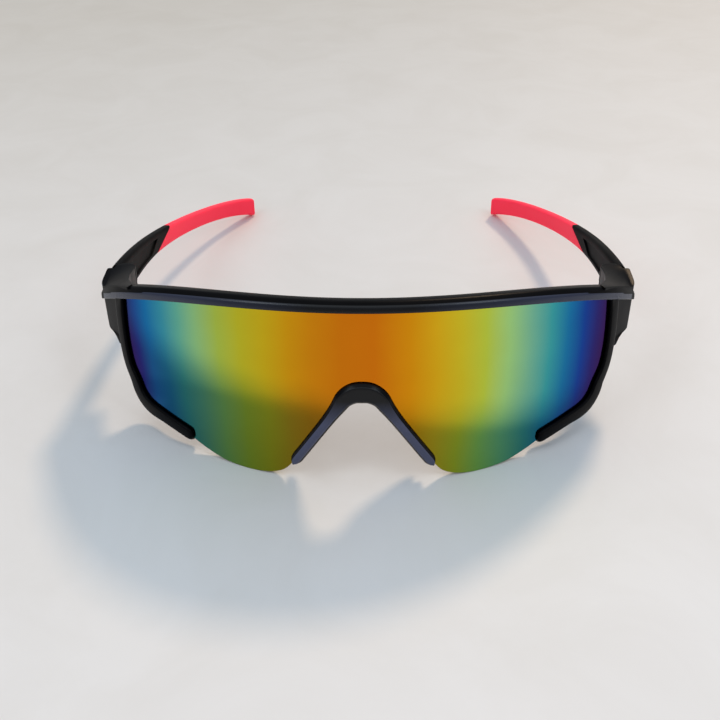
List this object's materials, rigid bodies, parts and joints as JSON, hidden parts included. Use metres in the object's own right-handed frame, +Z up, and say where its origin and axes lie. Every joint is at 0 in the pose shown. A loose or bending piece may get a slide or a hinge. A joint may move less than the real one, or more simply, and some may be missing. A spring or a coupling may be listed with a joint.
{
  "type": "wraparound sport sunglasses",
  "caption": "Half-rim wraparound shield sunglasses with a mirror lens, clip-on nose bridge, folding temples and rubber temple tips.",
  "frame": {"origin": "centre of the bounding box in plan, on the table the pair rests on", "axes": "+Y from the lens back along the open temples, +Z up from the table, +X to the right as seen from in front of the lens looking along +Y"},
  "size_m": [0.1492, 0.1604, 0.0512],
  "materials": {
    "frame_black": "satin moulded nylon",
    "lens_mirror": "polycarbonate with a rainbow mirror coating, orange in the middle through green and blue to violet at the sides",
    "bridge_black": "semi-gloss moulded nylon",
    "pad_rubber": "soft matt rubber",
    "tip_red": "soft coral red rubber",
    "screw_steel": "plain steel",
    "insert_brass": "plain brass"
  },
  "bodies": {
    "front": {"front_frame": "frame_black", "shield_lens": "lens_mirror", "nose_bridge": "bridge_black", "nose_pad_left": "pad_rubber", "nose_pad_right": "pad_rubber", "hinge_screw_left": "screw_steel", "hinge_screw_right": "screw_steel", "hinge_insert_left": "insert_brass", "hinge_insert_right": "insert_brass"},
    "temple_left": {"temple_arm_left": "frame_black", "temple_tip_left": "tip_red"},
    "temple_right": {"temple_arm_right": "frame_black", "temple_tip_right": "tip_red"}
  },
  "joints": [
    {"name": "fold_left", "type": "hinge", "parent": "front", "child": "temple_left", "pos_m": [-0.0695, -0.03079, 0.02909], "axis": [0, -0.1297, -0.9915], "range_deg": [0, 78]},
    {"name": "fold_right", "type": "hinge", "parent": "front", "child": "temple_right", "pos_m": [0.0695, -0.03079, 0.02909], "axis": [0, 0.1297, 0.9915], "range_deg": [0, 90]}
  ]
}
